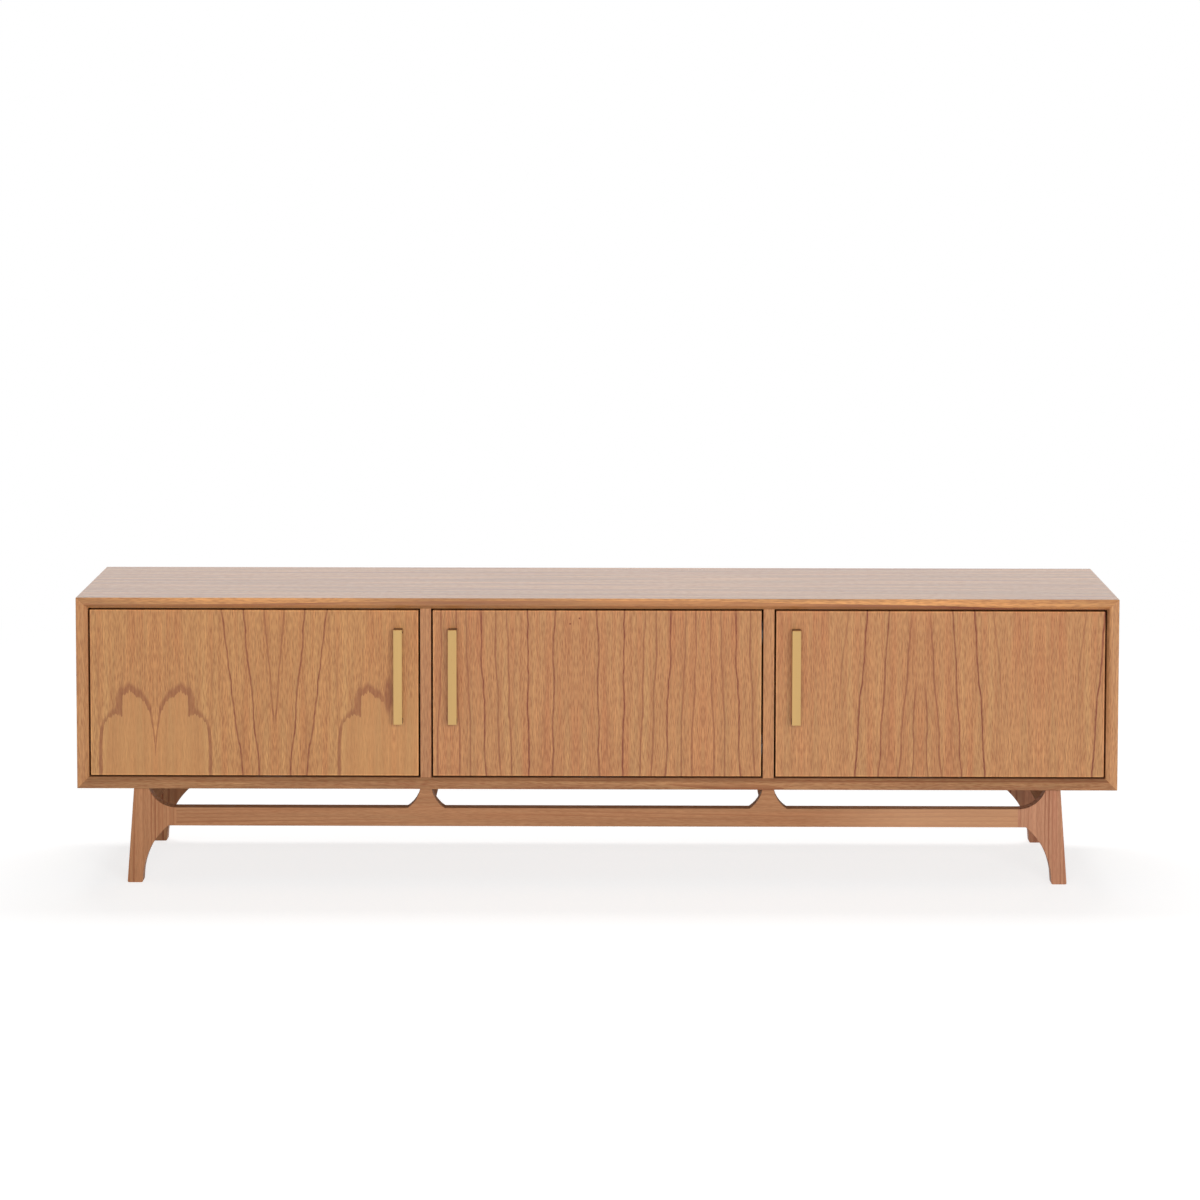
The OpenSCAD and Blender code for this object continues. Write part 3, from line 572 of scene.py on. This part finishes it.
def growth_line(tree, across, down, top, foot, dark, start, end):
    """One dark line of late wood, sharp on its outer side and blushing on its inner one."""
    centre = add(tree, "MapRange", down, 0.0, 1.0, top / 1000, foot / 1000)
    off = add(tree, "Math", across, centre, operation="SUBTRACT")
    apart = add(tree, "Math", off, operation="ABSOLUTE")
    sharp = add(tree, "MapRange", apart, 0.0, LINE, dark, 0.0, interpolation_type="SMOOTHSTEP")
    inner = add(tree, "MapRange", off, -BLUSH, 0.0, 0.0, BLUSH_DARK * dark)
    outer = add(tree, "MapRange", off, 0.0, LINE, 1.0, 0.0)
    blush = add(tree, "Math", inner, outer, operation="MULTIPLY")
    drawn = add(tree, "Math", sharp, blush, operation="MAXIMUM")
    begun = add(tree, "MapRange", down, start - LINE_FADE, start, 0.0, 1.0)
    ended = add(tree, "MapRange", down, end, end + LINE_FADE, 1.0, 0.0)
    drawn = add(tree, "Math", drawn, begun, operation="MULTIPLY")
    return add(tree, "Math", drawn, ended, operation="MULTIPLY")


def lobe_edge(tree, across):
    """Height of the lobe's edge above the door's foot."""
    reach = LOBE[-1][0]
    share = add(tree, "MapRange", across, 0.0, reach / 1000, 0.0, 1.0)
    edge = add(tree, "FloatCurve", 1.0, share)
    mapping = edge.node.mapping
    mapping.clip_min_y = -1
    points = mapping.curves[0].points
    while len(points) < len(LOBE):
        points.new(0.5, 0.5)
    for point, (x, z) in zip(points, LOBE):
        point.location = (x / reach, z / LOBE_TOP)
        point.handle_type = "VECTOR"
    mapping.update()
    return add(tree, "Math", edge, LOBE_TOP / 1000, operation="MULTIPLY")


def heart(tree, across, height):
    """How dark the band round a heart's lobe is, and how far inside the lobe a point lies."""
    edge = lobe_edge(tree, across)
    inside = add(tree, "Math", edge, height, operation="SUBTRACT")
    inside = add(tree, "MapRange", inside, -LOBE_SOFT, LOBE_SOFT, 0.0, 1.0)
    width = add(tree, "MapRange", across, 0.0, CLEFT, CLEFT_BAND, BAND)
    slim = add(tree, "MapRange", across, *OUTER_SIDE, 1.0, SLIM_BAND)
    width = add(tree, "Math", width, slim, operation="MULTIPLY")
    # The band is the lobe moved outwards by its width in five directions, less the lobe itself
    near = 0.0
    for aside, above in ((-1, 0), (-0.7, 0.7), (0, 1), (0.7, 0.7), (1, 0)):
        moved = add(tree, "Math", width, aside, across, operation="MULTIPLY_ADD")
        edge = lobe_edge(tree, moved)
        edge = add(tree, "Math", width, above, edge, operation="MULTIPLY_ADD")
        under = add(tree, "Math", edge, height, operation="SUBTRACT")
        near = add(tree, "Math", add(tree, "MapRange", under, *BAND_FADE, 0.0, 1.0), near,
                   operation="MAXIMUM")
    band = add(tree, "Math", near, inside, operation="SUBTRACT")
    band = add(tree, "Math", band, 0.0, operation="MAXIMUM")
    band = add(tree, "Math", band, BAND_DARK, operation="MULTIPLY")
    return band, add(tree, "Math", inside, HEART_CALM, operation="MULTIPLY")


def matched_veneer(name, low, high, seam, leaf, lines, light="#c08e5c", deep="#ba7d50",
                   hearts=False, knots=()):
    """Book-matched veneer on a door between two corners, with its growth lines drawn.

    The eye sees the same lines on both sides of each seam, a little shaky, and broken by pores.
    """
    material, tree = finish_tree(name)
    place = add(tree, "TexCoord", out="Object")
    parts = add(tree, "SeparateXYZ", place).node.outputs
    aside = add(tree, "Math", parts["X"], seam, operation="SUBTRACT")
    mirrored = add(tree, "Math", aside, leaf, operation="PINGPONG")
    place = add(tree, "CombineXYZ", mirrored, parts["Y"], parts["Z"])
    sway = flecks(tree, place, *SWAY)
    shake = flecks(tree, place, *SHAKE)
    wander = add(tree, "Math", sway, shake, operation="ADD")
    across = add(tree, "Math", mirrored, wander, operation="ADD")
    down = add(tree, "MapRange", parts["Z"], high.z, low.z, 0.0, 1.0)
    dark = 0.0
    for line in lines:
        drawn = growth_line(tree, across, down, *line)
        dark = add(tree, "Math", dark, drawn, operation="MAXIMUM")
    calm = 0.0
    if hearts:
        middle = add(tree, "Math", leaf, across, operation="SUBTRACT")
        height = add(tree, "Math", parts["Z"], low.z, operation="SUBTRACT")
        ragged = flecks(tree, place, *RAGS)
        height = add(tree, "Math", height, ragged, operation="ADD")
        band, calm = heart(tree, middle, height)
        last, past = (TOOTH.x - gap for gap in BAND_END)
        before = add(tree, "MapRange", parts["X"], last, past, 1.0, 0.0)
        band = add(tree, "Math", band, before, operation="MULTIPLY")
        tooth = add(tree, "CombineXYZ", parts["X"], 0.0, height)
        tooth = add(tree, "VectorMath", tooth, TOOTH, operation="SUBTRACT")
        tooth = add(tree, "VectorMath", tooth, TOOTH_SIZE, operation="DIVIDE")
        tooth = add(tree, "VectorMath", tooth, operation="LENGTH", out="Value")
        tooth = add(tree, "MapRange", tooth, *TOOTH_FADE, TOOTH_DARK, 0.0)
        band = add(tree, "Math", band, tooth, operation="MAXIMUM")
        veneer = low.y + VENEER
        front = add(tree, "MapRange", parts["Y"], veneer, veneer + 0.001, 1.0, 0.0)
        band = add(tree, "Math", band, front, operation="MULTIPLY")
        calm = add(tree, "Math", calm, front, operation="MULTIPLY")
        dark = add(tree, "Math", dark, band, operation="MAXIMUM")
    for along, under in knots:
        knot = (along, 0, high.z - under)
        gap = add(tree, "CombineXYZ", parts["X"], 0.0, parts["Z"])
        gap = add(tree, "VectorMath", gap, knot, operation="DISTANCE", out="Value")
        drawn = add(tree, "MapRange", gap, PIN_KNOT / 3, PIN_KNOT, 1.0, 0.0)
        dark = add(tree, "Math", dark, drawn, operation="MAXIMUM")
    broken = flecks(tree, place, *BREAKS)
    dark = add(tree, "Math", dark, broken, operation="MULTIPLY")
    lift = 1.0
    # Each edge band is made lighter: partly lipping, partly a painted highlight on the eased edge
    for part, edge in (("X", low.x), ("X", high.x), ("Z", low.z), ("Z", high.z)):
        gap = add(tree, "Math", parts[part], edge, LIPPING_AND_HIGHLIGHT_WIDTH, operation="COMPARE")
        gap = add(tree, "MapRange", gap, 0.0, 1.0, 1.0, LIPPING_AND_HIGHLIGHT_LIFT)
        lift = add(tree, "Math", gap, lift, operation="MAXIMUM")
    lacquered(tree, place, light, deep, dark, calm=calm, lift=lift)
    return material


for bay, figure in FIGURES.items():
    node = bay + "_door_panel"
    low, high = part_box(node)
    bm = merged(node)
    # The short edges of the recesses and screw holes inside stay sharp
    ease(bm, DOOR_ARRIS, lambda e: e.calc_length() > 0.01)
    material = matched_veneer(bay + "_book_matched_veneer", low, high, **figure)
    place_piece(bm, bay + "_door_board", material, node)

# Pulls: flat brass bar, 15 by 3 mm, brushed along its length and left satin. Its ends are bent
# back to the door, and these feet are painted dark brown, a painted shade for their dark tops.
# Two machine screws hold each pull from inside the door.
PULL_THICK = 0.003
PULL_ARRIS = 0.0004
brass = metal("brushed_brass", "#d2ac72", 0.34, 0.07, grit=0.0005, stretch=40)
behind_bar = min(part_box(bay + "_pull")[0].y for bay in FIGURES) + PULL_THICK
# The feet behind the bar turn almost to dark brown: this is painted shade
turned_towards(brass, "Y", behind_bar, behind_bar + PULL_THICK, 0.95, "#4a2f18")
for bay in FIGURES:
    node = bay + "_pull"
    low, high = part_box(node)
    bm = merged(node)
    ease(bm, PULL_ARRIS, lambda e: lies_on(e, 0, low.x) or lies_on(e, 0, high.x), segments=2)
    place_piece(bm, bay + "_brass_pull", brass, node)

# Studio: white paper on the floor and white all round. A wide softbox stands low in front, a
# strip hangs above and behind and draws the soft shadow forwards, and another softbox stands
# behind. The camera sees the paper as a little light of its own and a grey that takes the shadow.
PAPER = (0.8, 0.8, 0.8, 1)
FLOOR_SHADE = 0.46
FLOOR_LIFT = 0.735
FLOOR_HALF = 30
# Distances from the middle between which the paper fades to plain white
FADE_FROM = 1.6
FADE_TO = 3.2
# Light from all round, which leaves the lamps to shape the object
AMBIENT = 0.2


def shown(tree):
    """1 for the rays that see the backdrop, and 0 for those that carry light to the object."""
    rays = add(tree, "LightPath").node.outputs
    seen = add(tree, "Math", rays["Is Camera Ray"], rays["Is Glossy Ray"], operation="MAXIMUM")
    return add(tree, "Math", seen, rays["Is Transmission Ray"], operation="MAXIMUM")


material, tree = finish_tree("white_floor")
matt = add(tree, "BsdfDiffuse", PAPER)
shade = add(tree, "BsdfDiffuse", (FLOOR_SHADE, FLOOR_SHADE, FLOOR_SHADE, 1))
lift = add(tree, "Emission", (1, 1, 1, 1), FLOOR_LIFT)
paper = add(tree, "AddShader", shade, lift)
white = add(tree, "Emission", (1, 1, 1, 1), 1.0)
gap = add(tree, "VectorMath", add(tree, "TexCoord", out="Object"), operation="LENGTH", out="Value")
far = add(tree, "MapRange", gap, FADE_FROM, FADE_TO, 0.0, 1.0, interpolation_type="SMOOTHSTEP")
bright = add(tree, "MixShader", far, paper, white)
add(tree, "OutputMaterial", add(tree, "MixShader", shown(tree), matt, bright))
bm = bmesh.new()
bmesh.ops.create_grid(bm, x_segments=1, y_segments=1, size=FLOOR_HALF)
mesh = bpy.data.meshes.new("floor")
bm.to_mesh(mesh)
bm.free()
mesh.materials.append(material)
floor = bpy.data.objects.new("floor", mesh)
bpy.context.scene.collection.objects.link(floor)

world = bpy.data.worlds.new("white_studio")
world.use_nodes = True
tree = world.node_tree
tree.nodes.clear()
strength = add(tree, "MapRange", shown(tree), 0.0, 1.0, AMBIENT, 1.0)
add(tree, "OutputWorld", add(tree, "Background", (1, 1, 1, 1), strength))
bpy.context.scene.world = world


def softbox(name, place, width, height, power):
    """A lamp that faces the middle of the case. Gloss shows the white backdrop in its place."""
    light = bpy.data.lights.new(name, "AREA")
    light.shape = "RECTANGLE"
    light.size = width
    light.size_y = height
    light.energy = power
    lamp = bpy.data.objects.new(name, light)
    lamp.location = place
    lamp.rotation_euler = (case_middle - Vector(place)).to_track_quat("-Z", "Y").to_euler()
    lamp.visible_camera = False
    lamp.visible_glossy = False
    bpy.context.scene.collection.objects.link(lamp)


softbox("front_softbox", (0.6, -5.0, 1.2), 3.5, 1.6, 173)
softbox("rear_strip", (0.0, 2.3, 5.0), 4.0, 1.2, 115)
softbox("rear_fill", (1.5, 5.5, 1.4), 3.5, 1.6, 70)

# Camera: where the photograph was taken from, at a seated eye's height, with a long lens. The
# photograph's upright lines stay upright, so the frame is shifted down from the horizon.
camera_data = bpy.data.cameras.new("camera")
camera_data.sensor_width = 36
camera_data.lens = 112.59
camera_data.shift_y = -0.20
camera = bpy.data.objects.new("camera", camera_data)
camera.location = (0.0325, -6.608, 1.415)
camera.rotation_euler = [math.radians(turn) for turn in (85.523, -0.0827, 0.2595)]
bpy.context.scene.collection.objects.link(camera)
bpy.context.scene.camera = camera

bpy.context.scene.view_settings.view_transform = "Standard"
